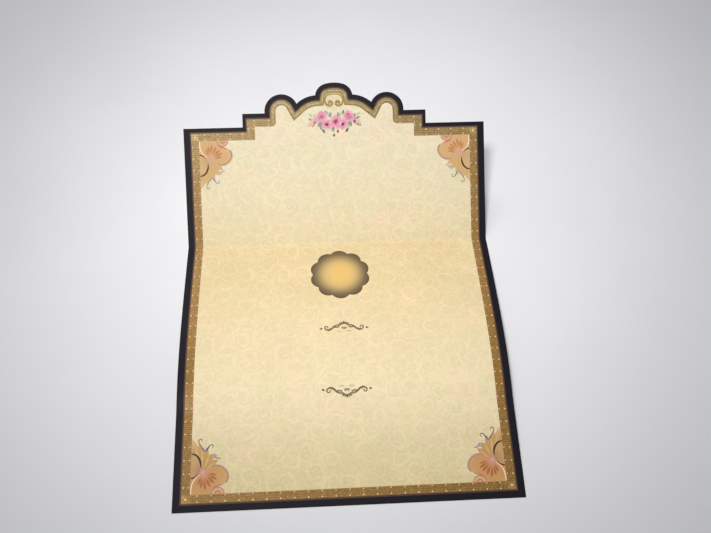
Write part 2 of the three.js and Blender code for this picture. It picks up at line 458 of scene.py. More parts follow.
# %% [markdown]
# The lines on the arches
#
# Over the lobes, the saddles and the dome the band is too narrow for studs. The print has two fine
# lines there that follow the arch, a light one and a deep one. Each is a strip between two insets.

# %% Lines on the arches
POINT_EDGES = [edge for edge, points in RUNS for _ in points[1:]]


def arch_line(ink, share, width):
    """A fine line along the arches only, at a share of the way across the band."""
    outer = inset_outline(border(share, -width / 2))
    inner = inset_outline(border(share, width / 2))
    for i, edge in enumerate(POINT_EDGES):
        following = (i + 1) % len(outer)
        if edge in ("arch", "dome"):
            fill(ink, [outer[i], outer[following], inner[following], inner[i]])


arch_line("arch_light", 0.48, 0.55)
arch_line("arch_deep", 0.8, 0.5)

# %% [markdown]
# The dome's double volute
#
# Inside the dome two mirrored volutes rise from one arch, a common finial on borders like this.
# A volute is an exponential spiral, so one pen stroke with a growing radius draws it.

# %% Volute
VOLUTE_EYE = Vector((2.75, 97.5))
first_volute = len(plates)
sweep = curve([(0, 103.7), (2.6, 103.5), (4.9, 102.6), (6.2, 100.6), (6.1, 98.2), (5.3, 96.4)])
winding = spiral(VOLUTE_EYE, math.radians(-30), math.radians(-390), 2.2, 0.7, 24)
stroke("volute", sweep + winding[2:], [0.9, 1.0, 1.1, 1.3, 1.5, 1.8, 1.9, 1.6])
disc("volute", VOLUTE_EYE + Vector((-0.2, 0.8)), 1.0, sides=12)
mirrored(first_volute)

# %% [markdown]
# The medallion
#
# Under the first crease sits a ten-lobed medallion, bright in the middle and dark at its rim. Its
# outline is ten equal arcs. The shading from gold to brown is left to its material.

# %% Medallion
MEDALLION_CENTRE = Vector((0, -28.2))
MEDALLION_LOBES = 10
LOBE_STEPS = 10
LOBE_ARC_CENTRE = 13.6
LOBE_ARC_RADIUS = 6.75


def lobed(centre, reach, radius, lobes):
    """An outline of equal round lobes, with one lobe at the top."""
    half_step = math.pi / lobes
    notch = reach * math.cos(half_step) + math.sqrt(radius**2 - (reach * math.sin(half_step)) ** 2)
    outline = []
    for k in range(lobes):
        middle = math.pi / 2 + 2 * half_step * k
        lobe = (around(centre, middle, reach), radius)
        start = angle_to(lobe, around(centre, middle - half_step, notch))
        end = angle_to(lobe, around(centre, middle + half_step, notch))
        if end < start:
            end += math.tau
        steps = LOBE_STEPS
        outline += [around(lobe[0], start + (end - start) * i / steps, radius) for i in range(steps)]
    return outline


for name, outwards in (("medallion_rim", 0.15), ("medallion", -0.25)):
    fill(name, lobed(MEDALLION_CENTRE, LOBE_ARC_CENTRE, LOBE_ARC_RADIUS + outwards, MEDALLION_LOBES))

# %% [markdown]
# The two dividers
#
# A divider is a small flourish: a crest of leaves in the middle over three short ones, an arm on
# each side that swells and runs out into a volute, and a pointed dot beyond it. The right half is
# drawn and mirrored, and the lower divider is the upper one turned over.


# %% Dividers
DIVIDER_U = 0.9


def divider(height, up):
    """A flourish about a height. Up is 1 for a crest above the arms and -1 for one below."""
    first = len(plates)
    arm = curve([
        (4.2, 2.2), (5.6, 1.9), (6.6, 1.1), (8.0, -0.2), (9.3, -1.0), (10.6, -1.2), (11.9, -0.6),
    ])
    curl = spiral((11.4, 0.75), math.radians(-62), math.radians(300), 1.4, 0.7, 14)
    stroke("olive", arm + curl[1:], [0.7, 1.2, 1.2, 1.2, 1.3, 0.9, 0.7, 0.6])
    leaf("olive", (9.6, -0.6), (9.4, 0.5), 0.6)
    leaf("olive_mid", (3.6, 0.5), (6.9, 0.9), 1.0)
    leaf("olive_mid", (7.6, 0.2), (7.0, 1.7), 0.8)
    eyelet = [around((4.6, 1.5), math.tau * i / 10, 0.9) for i in range(11)]
    stroke("olive_mid", eyelet, [0.85, 0.85])
    leaf("olive_mid", (0.6, 2.7), (1.6, 5.1), 1.3)
    leaf("olive", (1.3, 2.5), (3.2, 4.4), 1.3)
    leaf("olive_mid", (1.9, 1.9), (4.2, 3.1), 1.1)
    leaf("olive_mid", (2.8, 0.6), (4.0, 1.7), 0.9)
    leaf("olive", (13.9, 0.2), (16.1, -0.5), 1.1)
    disc("olive", (14.7, 0.1), 0.7, sides=8)
    leaf("olive", (0.9, -0.7), (1.4, 1.3), 0.9)
    stroke("olive_soft", curve([(1.4, -1.9), (3.0, -2.3), (5.0, -1.8)]), [0.4, 0.9, 0.4])
    mirrored(first)
    leaf("olive", (0, -0.8), (0, 1.6), 0.8)
    leaf("olive", (0, 2.8), (0, 5.7), 1.3)
    stroke("olive_mid", [(-2.0, 0.1), (0, -0.4), (2.0, 0.1)], [0.3, 0.5, 0.3])
    for name, polygon in lifted_off(first):
        fill(name, [(DIVIDER_U + p.x, height + up * p.y) for p in polygon])


divider(-72.0, 1)
divider(-113.9, -1)
print("plates after the dividers:", len(plates))

# %% [markdown]
# The corner shells
#
# Each inner corner holds a ribbed shell that opens towards the corner, a half-round boss against
# the side band, pointed petals on its far side and a pair of light scrolls. Shells with scrollwork
# are common stock in printed borders. The shell is drawn once in its own measures, a across from
# the side band and d away from the corner, then set in all four corners. What would run over a
# band is held back to its edge, so the studs stay whole.

# %% Corner shell
CORNER_U = HALF_WIDTH - DARK["side"] - GOLD["side"]
CORNER_TOP = FLAP - DARK["shoulder"] - GOLD["shoulder"]
CORNER_FRONT = FRONT_EDGE + DARK["front"] + GOLD["front"]
APEX = Vector((7.2, 12.9))
TOUCH = 0.02


def oval_arc(centre, reach, start, end, step):
    """Points of an oval from one angle to another, in degrees."""
    angles = [math.radians(a) for a in range(start, end + 1, step)]
    return [
        Vector((centre[0] + reach[0] * math.cos(a), centre[1] + reach[1] * math.sin(a)))
        for a in angles
    ]


def petals_behind():
    """Pointed petals behind the shell, the longest along the side band."""
    foot = (4.5, 12.5)
    ground = [(TOUCH, 10), (TOUCH, 31.5), (3.6, 28.5), (9.0, 24.5), (12.6, 20.5), (14.0, 17)]
    fill("petal", ground + [APEX])
    for tip, width in (
        ((TOUCH, 33.2), 6.4), ((5.0, 30.4), 5.4), ((9.8, 26.8), 5.2),
        ((13.4, 24.0), 4.6), ((16.2, 20.2), 4.2), ((17.6, 17.4), 3.0),
    ):
        leaf("petal", foot, tip, width, belly=0.6)
    for tip, width in (
        ((1.6, 30.4), 1.6), ((6.2, 27.2), 1.5), ((10.6, 22.6), 1.4), ((14.2, 18.6), 1.1),
    ):
        leaf("petal_rib", APEX.lerp(Vector(tip), 0.2), tip, width, belly=0.6)


# %% Shell and its ribs
LOBE_MIDDLE = Vector((15.5, 10.5))


def ribbed_shell():
    """The shell, from the pale strip beside the band round its lobe to the curl."""
    lobe = curve([
        (12.4, 15.9), (14.8, 16.7), (18.4, 16.0), (21.4, 13.2), (22.4, 9.6), (20.9, 6.4),
        (17.9, 5.0), (14.9, 4.2), (13.2, 2.4), (12.6, TOUCH),
    ], steps=5)
    edge = curve([(5.2, 11.4), (3.0, 9.6), (1.5, 7.4), (0.7, 5.0), (0.45, 2.4), (0.5, TOUCH)])
    fill("shell", [APEX] + edge + [Vector((TOUCH, TOUCH)), Vector((TOUCH, 10.4))])
    fill("shell", [APEX] + edge + lobe[::-1])
    stroke("mauve", lobe[:26], [0.3, 0.8, 1.1, 1.2, 1.1, 0.9])
    stroke("coral", lobe[28:], [0.6, 0.75, 0.8, 0.6])
    halo = [point + (point - LOBE_MIDDLE) * 0.09 for point in lobe[4:24]]
    stroke("mauve_soft", halo, [0.3, 0.7, 0.7, 0.3])
    stroke("pale_strip", edge[:-1], [0.3, 0.55, 0.7, 0.7, 0.5])
    for ink_name, tip, width in (
        ("rib", (4.4, 5.4), 1.3), ("rib", (6.2, 3.4), 1.6), ("rib_red", (9.0, 2.2), 1.7),
        ("rib_red", (11.8, 4.0), 1.8), ("rib", (14.2, 6.2), 1.7), ("rib", (15.8, 8.4), 1.6),
        ("rib", (15.6, 11.0), 1.2),
    ):
        leaf(ink_name, APEX.lerp(Vector(tip), 0.3), tip, width, belly=0.62)


# %% Curl and boss
CURL_MIDDLE = (16.3, TOUCH)
CURL_REACH = 4.1
BOSS_MIDDLE = (TOUCH, 16.8)
BOSS_REACH = (5.8, 7.3)


def curl_on_band():
    """Half rings one inside the other, standing on the horizontal band."""
    fill("curl_ground", oval_arc(CURL_MIDDLE, (CURL_REACH, CURL_REACH), 0, 180, 15))
    for ink_name, radius, width in (("mauve", 3.9, 0.6), ("pale_rose", 2.7, 0.8), ("coral", 1.5, 0.75)):
        half_ring = oval_arc(CURL_MIDDLE, (radius, radius), 0, 180, 12)
        stroke(ink_name, half_ring, [width * 0.7, width, width * 0.7])


def boss_on_band():
    """Half an oval against the side band, edged in brown, and the rosy apex beside it."""
    oval = oval_arc(BOSS_MIDDLE, BOSS_REACH, -90, 90, 9)
    fill("boss", oval)
    stroke("brown_arc", oval[9:], [0.4, 1.2, 1.25, 1.1, 0.7])
    stroke("brown_arc", oval[:7], [0.8, 0.85, 0.5, 0.15])
    disc("apex_rose", APEX, 1.5, stretch=1.3, turn=math.radians(60))
    disc("apex_glow", APEX, 0.8, stretch=1.4, turn=math.radians(60))


# %% Scrolls of the shell
def scrolls():
    """A hook, a tendril and their small leaves at the shell's far end."""
    hook = curve([
        (8.0, 25.2), (9.2, 26.0), (10.2, 27.8), (11.2, 29.0), (12.4, 29.2), (13.0, 28.2), (12.4, 27.2),
    ])
    stroke("violet", hook, [0.6, 1.1, 0.8, 0.6, 0.6, 0.5, 0.3])
    leaf("violet_soft", (8.0, 25.4), (10.6, 25.4), 1.1)
    leaf("violet_soft", (7.8, 25.8), (6.4, 28.0), 0.9)
    leaf("violet_soft", (8.6, 26.0), (9.0, 27.9), 0.8)
    tendril = curve([
        (8.4, 25.6), (7.0, 26.4), (5.8, 28.4), (4.6, 30.2), (4.2, 31.8), (5.0, 32.9), (6.2, 32.4),
        (5.9, 31.4),
    ])
    stroke("violet", tendril, [0.7, 0.5, 0.5, 0.55, 0.55, 0.5, 0.3])
    leaf("violet_soft", (13.6, 21.6), (14.3, 24.0), 1.0)
    leaf("violet_soft", (13.4, 21.8), (18.2, 20.4), 1.0)
    leaf("violet_soft", (13.8, 21.8), (12.6, 20.8), 0.8)
    leaf("violet_soft", (13.9, 22.0), (15.8, 22.8), 0.7)


first_of_shell = len(plates)
for part in (petals_behind, ribbed_shell, curl_on_band, boss_on_band, scrolls):
    part()
shell = lifted_off(first_of_shell)
for corner_v, away in ((CORNER_TOP, -1), (CORNER_FRONT, 1)):
    for side in (-1, 1):
        for name, polygon in shell:
            inside = [(max(p.x, TOUCH), max(p.y, TOUCH)) for p in polygon]
            fill(name, [(side * (CORNER_U - a), corner_v + away * d) for a, d in inside])
print("plates after the shells:", len(plates))

# %% [markdown]
# The posy under the dome
#
# Five open blossoms stand in a V with buds and twigs at the ends, leaves between them and two
# berries on fine stems below. Each blossom is a ring of round petals in light pink, then a second
# ring, fine creases and a deep heart over it, turned by chance so that no two are alike. The draw
# of chance is seeded, so it falls the same way each time.

# %% Blossoms
chance = random.Random(7)


def blossom(centre, radius, middle, heart):
    """Pale outer petals, a second row, and a cupped middle about a heart."""
    centre = Vector(centre)
    turn = chance.uniform(0, math.tau)

    def petals(count, reach, size, names, stretch):
        for k in range(count):
            angle = turn + math.tau * k / count
            place = around(centre, angle, radius * reach)
            size_here = radius * size * chance.uniform(0.88, 1.12)
            disc(names[k % len(names)], place, size_here, sides=10, stretch=stretch, turn=angle)

    petals(7, 0.68, 0.38, ("rose_pale", "rose_light", "rose_light"), 1.1)
    petals(6, 0.48, 0.34, ("rose", "rose_light"), 1.0)
    for k in range(7):
        angle = turn + 0.5 + k * 0.9
        foot, tip = (around(centre, angle, radius * reach) for reach in (0.35, 0.82))
        leaf("rose_mid", foot, tip, 0.45)
    petals(5, 0.3, 0.28, ("rose", middle), 0.9)
    disc(middle, centre, radius * 0.36, sides=10, stretch=1.1, turn=turn)
    petals(3, 0.12, 0.16, (middle, "rose"), 1.4)
    disc(heart, centre + Vector((chance.uniform(-0.2, 0.2), -0.15)), radius * 0.3, sides=9)


# %% Posy
LEAF_FULLNESS = 1.5
POSY_LEAVES = (
    ("leaf", (-4.6, 89.4), (-6.6, 92.6), 1.2), ("leaf", (-3.6, 87.6), (-2.4, 91.4), 1.5),
    ("leaf_pale", (-5.0, 88.6), (-3.9, 91.2), 1.4), ("leaf", (3.2, 87.6), (2.4, 91.4), 1.4),
    ("leaf_pale", (4.0, 88.0), (4.4, 91.2), 1.3), ("leaf_dark", (5.6, 89.6), (6.8, 92.9), 0.8),
    ("leaf", (-9.0, 85.0), (-11.6, 81.0), 1.9), ("leaf", (-9.4, 82.2), (-9.8, 78.8), 1.3),
    ("leaf_dark", (-8.8, 79.8), (-6.8, 76.6), 1.1), ("leaf_pale", (-8.4, 82.6), (-8.2, 79.0), 1.3),
    ("leaf", (10.0, 85.4), (11.9, 80.8), 1.9), ("leaf_pale", (9.2, 82.4), (10.2, 79.4), 1.4),
    ("leaf_dark", (9.6, 80.0), (7.4, 77.0), 1.3), ("leaf", (-0.8, 81.6), (-1.6, 77.6), 1.4),
    ("leaf_pale", (-2.4, 81.4), (-3.4, 79.0), 1.0), ("leaf_pale", (-15.4, 88.0), (-18.0, 91.2), 1.0),
    ("leaf", (-14.8, 85.6), (-18.4, 87.2), 1.1), ("leaf_pale", (-13.4, 86.8), (-14.6, 90.4), 1.2),
    ("leaf", (13.2, 86.4), (14.6, 90.6), 1.2), ("leaf_pale", (14.8, 88.2), (18.2, 91.0), 1.0),
    ("leaf", (14.4, 86.2), (18.2, 88.0), 1.1), ("leaf", (15.8, 83.8), (18.8, 81.2), 1.3),
    ("leaf_pale", (15.0, 84.6), (17.8, 85.4), 0.9),
    ("twig", (-14.6, 84.8), (-18.6, 81.4), 0.7), ("twig", (-14.8, 86.2), (-17.6, 86.0), 0.5),
    ("twig", (-13.4, 83.8), (-16.0, 80.8), 0.6), ("twig", (14.6, 84.8), (18.4, 83.6), 0.6),
    ("twig", (14.2, 85.8), (16.8, 88.4), 0.5), ("twig", (14.6, 83.8), (17.0, 81.4), 0.6),
)
for centre, reach in (
    ((-9.4, 87.4), 4.6), ((9.8, 87.2), 4.4), ((0.4, 84.2), 5.0), ((-15.4, 84.6), 2.8),
    ((15.8, 84.6), 2.8), ((-5.4, 83.2), 4.0), ((6.0, 83.0), 4.0),
):
    disc("wash", centre, reach, sides=16, stretch=1.1, turn=chance.uniform(0, 3))
for centre in ((-8.6, 82.4), (9.0, 82.4), (-12.6, 86.2), (13.0, 86.2)):
    disc("mauve_wash", centre, 1.9, sides=12, stretch=1.2, turn=chance.uniform(0, 3))
for name, foot, tip, width in POSY_LEAVES:
    leaf(name, foot, tip, width * LEAF_FULLNESS)
for bud, radius, name in (
    ((-15.4, 86.2), 1.0, "bud_peach"), ((-16.2, 83.4), 1.3, "bud_peach"),
    ((-17.8, 82.3), 1.0, "bud_peach"), ((-13.9, 84.4), 1.0, "rose_mid"),
    ((-12.4, 86.0), 1.1, "rose_light"), ((14.2, 84.5), 1.1, "rose_deep"),
    ((15.9, 84.2), 1.1, "bud_peach"), ((17.6, 83.4), 1.0, "bud_peach"),
    ((12.9, 86.0), 1.0, "rose_light"),
):
    disc(name, bud, radius, sides=9, stretch=1.2, turn=chance.uniform(0, 3))
disc("rose_deep", (-13.6, 84.2), 0.5, sides=7)
for centre, radius, middle, heart in (
    ((-9.0, 88.3), 3.9, "rose_mid", "rose_hot"), ((9.8, 88.1), 3.9, "rose_hot", "rose_mid"),
    ((-5.3, 82.9), 3.6, "rose_mid", "rose_heart"), ((5.6, 82.9), 3.6, "rose_mid", "rose_heart"),
    ((0.8, 84.8), 4.0, "rose_hot", "rose_deep"),
):
    blossom(centre, radius, middle, heart)
stroke("leaf_dark", [(1.4, 81.2), (2.2, 80.0), (2.3, 78.6)], [0.3, 0.35])
disc("berry_dark", (2.1, 77.8), 1.05, sides=9, stretch=0.8)
stroke("leaf", [(0.2, 81.0), (-0.4, 78.6), (-0.6, 76.2)], [0.3, 0.25])
disc("berry", (-0.6, 75.2), 1.0, sides=9)
print("plates in all:", len(plates))

# %% [markdown]
# Cut the blank's mesh along every outline
#
# A print could be an image, but outlines stay sharp at any distance and need no picture. So the
# printed face is divided along every plate's outline and every bend line at once, by a constrained
# Delaunay triangulation. It reports which plates each triangle lies in, and the last of them is the
# ink that shows.

# %% Divide the printed face
BEND_LINES = [station[0] for station in STATIONS[1:-1]]


def divided(shapes):
    """Triangles of the blank, each with the number of the topmost shape that it lies in."""
    points, edges, faces = [], [], []
    for polygon in shapes:
        start = len(points)
        points.extend(polygon)
        faces.append(list(range(start, start + len(polygon))))
    for v in BEND_LINES:
        start = len(points)
        points.extend((Vector((-HALF_WIDTH, v)), Vector((HALF_WIDTH, v))))
        edges.append((start, start + 1))
    flat, _, triangles, _, _, sources = geometry.delaunay_2d_cdt(points, edges, faces, 0, 1e-5)
    kept = [(face, max(inside)) for face, inside in zip(triangles, sources) if 0 in inside]
    return flat, kept


shapes = [OUTLINE] + [polygon for _, polygon in plates]
inks = ["dark_edge"] + [ink for ink, _ in plates]
front_points, front_faces = divided(shapes)
back_points, back_faces = divided([OUTLINE])
print("printed face:", len(front_faces), "triangles; back:", len(back_faces))
tally = {}
for face, top in front_faces:
    a, b, c = (front_points[i] for i in face)
    tally[inks[top]] = tally.get(inks[top], 0) + (b - a).cross(c - a) / 2
print("square millimetres of each ink:", {name: round(area) for name, area in tally.items()})

# %% [markdown]
# Fold it into one closed sheet
#
# The printed face and the bare back are carried to their places, and the cut edge joins them along
# the outline, so the card is one watertight sheet of the true thickness. The flat coordinates are
# kept as a UV map, because the inks' patterns are printed in them.

# %% Edges of the sheet
INK_NAMES = sorted(set(inks)) + ["bare_card"]


def rounded(point):
    """A flat point's place, rounded so that the same point of both faces agrees."""
    return (round(point[0], 3), round(point[1], 3))


def outline_edges(triangles):
    """The edges that only one triangle has, each in its triangle's own direction."""
    sides = [side for face, _ in triangles for side in zip(face, face[1:] + face[:1])]
    seen = set(sides)
    return [(a, b) for a, b in sides if (b, a) not in seen]


OUTLINE_KEYS = {
    (rounded(front_points[i]), rounded(front_points[j])) for i, j in outline_edges(front_faces)
}


def is_outline(first, second):
    """Whether an edge between two flat points lies on the cut outline, or runs through the sheet."""
    pair = (rounded(first), rounded(second))
    return pair in OUTLINE_KEYS or pair[::-1] in OUTLINE_KEYS or pair[0] == pair[1]


print("edges along the cut:", len(OUTLINE_KEYS))


# %% Build the sheet
def build_sheet():
    """The closed mesh: printed face, bare back and cut edge, each face with its ink."""
    corners = [folded(p.x, p.y, PRINTED) for p in front_points]
    flat = [Vector(p) for p in front_points]
    back_start = len(corners)
    corners += [folded(p.x, p.y, BACK) for p in back_points]
    flat += [Vector(p) for p in back_points]
    faces = [list(face) for face, _ in front_faces]
    materials = [INK_NAMES.index(inks[top]) for _, top in front_faces]
    bare = INK_NAMES.index("bare_card")
    faces += [[back_start + i for i in reversed(face)] for face, _ in back_faces]
    under = {rounded(p): back_start + i for i, p in enumerate(back_points)}
    rim = outline_edges(front_faces)
    faces += [[b, a, under[rounded(front_points[a])], under[rounded(front_points[b])]] for a, b in rim]
    materials += [bare] * (len(back_faces) + len(rim))
    mesh = bpy.data.meshes.new("card_sheet")
    mesh.from_pydata(corners, [], faces)
    for name in INK_NAMES:
        mesh.materials.append(MATERIALS[name])
    mesh.polygons.foreach_set("material_index", materials)
    smooth = [i < len(faces) - len(rim) for i in range(len(faces))]
    mesh.polygons.foreach_set("use_smooth", smooth)
    uv = mesh.uv_layers.new(name="flat")
    for loop in mesh.loops:
        p = flat[loop.vertex_index]
        uv.data[loop.index].uv = ((p.x + HALF_WIDTH) / FLAT_LENGTH, (p.y - FRONT_EDGE) / FLAT_LENGTH)
    sharp = mesh.attributes.new("sharp_edge", "BOOLEAN", "EDGE")
    rim_corners = {index for edge in rim for index in edge} | set(under.values())
    for edge in mesh.edges:
        first, second = edge.vertices
        rim_side = {first, second} <= rim_corners
        sharp.data[edge.index].value = rim_side and is_outline(flat[first], flat[second])
    mesh.validate()
    sheet = bpy.data.objects.new("card_sheet", mesh)
    bpy.context.collection.objects.link(sheet)
    return sheet


# %% [markdown]
# Shader maths as Python
#
# A material's pattern is a formula, so it should read like one. A Link wraps one output socket and
# turns + - * / into Math nodes, also where a plain number comes first, as in 1 - mask. A Finish
# holds a material and makes any other node from its type, its settings and its sockets.


# %% Shader kit
class Link:
    """An output socket that can be used in sums."""

    def __init__(self, finish, socket):
        self.finish = finish
        self.socket = socket

    def __add__(self, other):
        return self.finish.math("ADD", self, other)

    def __sub__(self, other):
        return self.finish.math("SUBTRACT", self, other)

    def __rsub__(self, other):
        return self.finish.math("SUBTRACT", other, self)

    def __mul__(self, other):
        return self.finish.math("MULTIPLY", self, other)

    def __truediv__(self, other):
        return self.finish.math("DIVIDE", self, other)

    __radd__ = __add__
    __rmul__ = __mul__


class Finish:
    """A material in the making, with its Principled shader."""

    def __init__(self, name, **constants):
        self.material = bpy.data.materials.new(name)
        self.material.use_nodes = True
        self.tree = self.material.node_tree
        self.tree.nodes.clear()
        output = self.tree.nodes.new("ShaderNodeOutputMaterial")
        self.shader = self.tree.nodes.new("ShaderNodeBsdfPrincipled")
        self.tree.links.new(self.shader.outputs[0], output.inputs["Surface"])
        for socket, value in constants.items():
            self.shader.inputs[socket.replace("_", " ")].default_value = value

    def node(self, kind, settings, sockets, out=0):
        """Any node: its settings first, then the values or links of its sockets."""
        made = self.tree.nodes.new(kind)
        for setting, value in settings.items():
            if setting == "stops":
                ramp = made.color_ramp.elements
                while len(ramp) < len(value):
                    ramp.new(1)
                for element, (place, colour) in zip(ramp, value):
                    element.position = place
                    element.color = colour
            else:
                setattr(made, setting, value)
        for socket, value in sockets.items():
            target = made.inputs[socket]
            if isinstance(value, Link):
                self.tree.links.new(value.socket, target)
            else:
                target.default_value = value
        return Link(self, made.outputs[out])

    def sister(self, link, out):
        """Another output of the node that a link comes from."""
        return Link(self, link.socket.node.outputs[out])

    def math(self, operation, *values):
        return self.node("ShaderNodeMath", {"operation": operation}, dict(enumerate(values)))

    def vector(self, operation, *values):
        return self.node("ShaderNodeVectorMath", {"operation": operation}, dict(enumerate(values)))

    def mix(self, share, first, second, blend="MIX"):
        """A colour between two colours. Sockets 0, 6 and 7 are the colour mix's own."""
        settings = {"data_type": "RGBA", "blend_type": blend}
        return self.node("ShaderNodeMix", settings, {0: share, 6: first, 7: second}, out=2)

    def ramp(self, share, *stops):
        """Colours along a share, each stop as (place, colour as read off a screen)."""
        stops = [(place, srgb(*colour)) for place, colour in stops]
        return self.node("ShaderNodeValToRGB", {"stops": stops}, {"Fac": share})

    def smooth(self, value, start, end):
        """0 before start and 1 after end, with a soft step between."""
        sockets = {"Value": value, "From Min": start, "From Max": end}
        return self.node("ShaderNodeMapRange", {"interpolation_type": "SMOOTHSTEP"}, sockets)

    def noise(self, place, size, detail=2.0, roughness=0.5, out=0):
        """Soft noise whose blotches are about a size in millimetres."""
        sockets = {"Vector": place, "Scale": 1 / size, "Detail": detail, "Roughness": roughness}
        return self.node("ShaderNodeTexNoise", {}, sockets, out)

    def flat(self):
        """The place on the flat blank in millimetres, from its front left corner."""
        uv = self.node("ShaderNodeUVMap", {"uv_map": "flat"}, {})
        return self.vector("MULTIPLY", uv, (FLAT_LENGTH, FLAT_LENGTH, 0))

    def parts(self, place):
        """A vector's first two numbers."""
        first = self.node("ShaderNodeSeparateXYZ", {}, {"Vector": place})
        return first, self.sister(first, 1)

    def feed(self, socket, link):
        self.tree.links.new(link.socket, self.shader.inputs[socket])

    def bump(self, height, strength, distance):
        """A relief in metres that feeds the shader's normal."""
        sockets = {"Strength": strength, "Distance": distance, "Height": height}
        self.feed("Normal", self.node("ShaderNodeBump", {}, sockets))


def srgb(red, green, blue):
    """A colour as it is read off a screen, 0 to 255, made linear for the shader."""
    linear = []
    for channel in (red, green, blue):
        c = channel / 255
        linear.append(c / 12.92 if c <= 0.04045 else ((c + 0.055) / 1.055) ** 2.4)
    return (*linear, 1.0)


# %% [markdown]
# The paper under every ink
#
# All inks lie on one coated card, so they share its fine tooth and its faint unevenness. One
# function adds them to any ink: a slow drift in tone, as ink is never laid quite evenly, and a
# shallow relief of fibres that breaks up the sheen.


# %% Paper tooth
SHEEN = 0.25
TOOTH_DEPTH = 0.00002


def print_on_paper(finish, colour, drift=0.05, gloss=0.5, tooth=0.35):
    """Feeds an ink's colour with its drift, its uneven gloss and the tooth of the card."""
    place = finish.flat()
    slow = finish.noise(place, 26, detail=3)
    fine = finish.noise(place, 0.9, detail=4, roughness=0.65)
    shade = 1 + (slow - 0.5) * drift * 2 + (fine - 0.5) * drift
    grey = finish.node("ShaderNodeCombineColor", {}, {0: shade, 1: shade, 2: shade})
    finish.feed("Base Color", finish.mix(1.0, colour, grey, "MULTIPLY"))
    finish.feed("Roughness", gloss + (fine - 0.5) * 0.16)
    fibres = finish.noise(place, 0.45, detail=3, roughness=0.6)
    finish.bump(fibres + slow * 6, tooth, TOOTH_DEPTH)
    return finish.material


def ink(name, colour, sheen=SHEEN):
    """A plain ink of one colour."""
    return print_on_paper(Finish(name, Specular_IOR_Level=sheen), srgb(*colour))


# %% [markdown]
# The cream field
#
# The ground is not one flat cream, and its tone along the card is partly painted light. It is
# palest on the flap, warmer and darker about the first crease as painted shade in the fold, and
# darker and greener towards the front, the darkness painted shade where the light falls off. A
# cloudy mottle lies over it. A faint pattern of scrolls, rosettes, tendrils and sprigs covers it
# all, like damask. Each cell of a Voronoi pattern becomes one motif: the angle and distance from
# the cell's centre wind into a spiral or open into petals. Tendrils run where a slow noise passes
# its middle value, and a fine grain lies over the whole.


# %% Cream ink
DOME_MIDDLE = (HALF_WIDTH, HEAD_TOP - 12.0 - FRONT_EDGE, 0)
DAMASK_MOTIF = 13.0


def cream_ink():
    """The cream field with painted light and shade along it, and its mottle, damask and grain."""
    cream = Finish("cream", Specular_IOR_Level=SHEEN)
    place = cream.flat()
    _, along = cream.parts(place)
    # painted light: palest on the flap, painted shade in the first crease and towards the front
    ground = cream.ramp(
        along / FLAT_LENGTH,
        (0.02, (217, 198, 145)), (0.12, (224, 206, 161)), (0.19, (236, 217, 175)),
        (0.25, (240, 222, 180)), (0.32, (237, 217, 175)), (0.50, (226, 203, 153)),
        (0.615, (222, 198, 148)), (0.63, (227, 208, 166)), (0.76, (231, 218, 183)),
        (0.97, (231, 220, 193)),
    )
    green = cream.smooth(cream.noise(place, 17, detail=4, roughness=0.6), 0.48, 0.7)
    pink = cream.smooth(cream.noise(place, 21, detail=3, roughness=0.6), 0.5, 0.7)
    mottled = cream.mix(green * 0.4, ground, srgb(224, 221, 164))
    mottled = cream.mix(pink * 0.4, mottled, srgb(247, 212, 178))
    distance = {"operation": "DISTANCE"}
    from_dome = cream.node("ShaderNodeVectorMath", distance, {0: place, 1: DOME_MIDDLE}, out=1)
    mottled = cream.mix((1 - cream.smooth(from_dome, 5, 9)) * 0.7, mottled, srgb(222, 200, 152))
    lines, leaves = damask(cream, place)
    lined = cream.mix(lines * 0.23, mottled, srgb(194, 180, 130))
    lined = cream.mix(leaves * 0.14, lined, srgb(252, 240, 210))
    grain = cream.smooth(cream.noise(place, 1.8, detail=2, roughness=0.6), 0.35, 0.65)
    lined = cream.mix(grain * 0.16, lined, srgb(250, 238, 206))
    return print_on_paper(cream, lined, drift=0.045)


# %% Damask
def damask(finish, place):
    """Two masks: faint drawn lines of scrolls and rosettes, and the light bodies between them."""
    drift = finish.vector("SUBTRACT", finish.noise(place, 12, out=1), (0.5, 0.5, 0.5))
    bent = finish.vector("ADD", place, finish.vector("MULTIPLY", drift, (10, 10, 0)))
    sockets = {"Vector": bent, "Scale": 1 / DAMASK_MOTIF, "Randomness": 0.8}
    cell = finish.node("ShaderNodeTexVoronoi", {"voronoi_dimensions": "2D"}, sockets)
    offset = finish.vector("SUBTRACT", bent, finish.sister(cell, "Position"))
    du, dv = finish.parts(offset)
    turn = finish.math("ARCTAN2", dv, du) / math.tau
    reach = finish.math("SQRT", du * du + dv * dv)
    pick, other = finish.parts(finish.sister(cell, "Color"))

    handed = finish.math("SIGN", pick - 0.4)
    wound = turn * handed + finish.math("LOGARITHM", reach + 0.5, 2.0) * 0.85 + other
    from_line = finish.math("ABSOLUTE", finish.math("FRACT", wound + 8) - 0.5) * (reach + 1)
    scroll = 1 - finish.smooth(from_line, 0.15, 0.75)
    body = finish.smooth(from_line, 1.0, 2.0)
    petals = finish.math("ABSOLUTE", finish.math("SINE", turn * math.pi * 6 + other * 3))
    rosette = 1 - finish.smooth(finish.math("ABSOLUTE", reach - 1.8 - petals * 2.0), 0.2, 0.7)
    eye = 1 - finish.smooth(finish.math("ABSOLUTE", reach - 1.1), 0.2, 0.6)
    flowers = finish.smooth(pick, 0.74, 0.75)
    drawn = scroll * (1 - flowers) + finish.math("MAXIMUM", rosette, eye) * flowers
    within = 1 - finish.smooth(reach, 5.4, 7.2)
    tendrils = finish.math("ABSOLUTE", finish.noise(bent, 6.5, detail=1) - 0.5)
    tendril = (1 - finish.smooth(tendrils, 0.01, 0.075)) * 0.75
    sprigs = finish.smooth(finish.noise(place, 2.7, detail=3, roughness=0.7), 0.55, 0.68)
    sprig = sprigs * finish.smooth(finish.noise(place, 9, detail=1), 0.4, 0.6) * 0.7
    lines = finish.math("MAXIMUM", finish.math("MAXIMUM", drawn * within, tendril), sprig)
    return lines, body * within
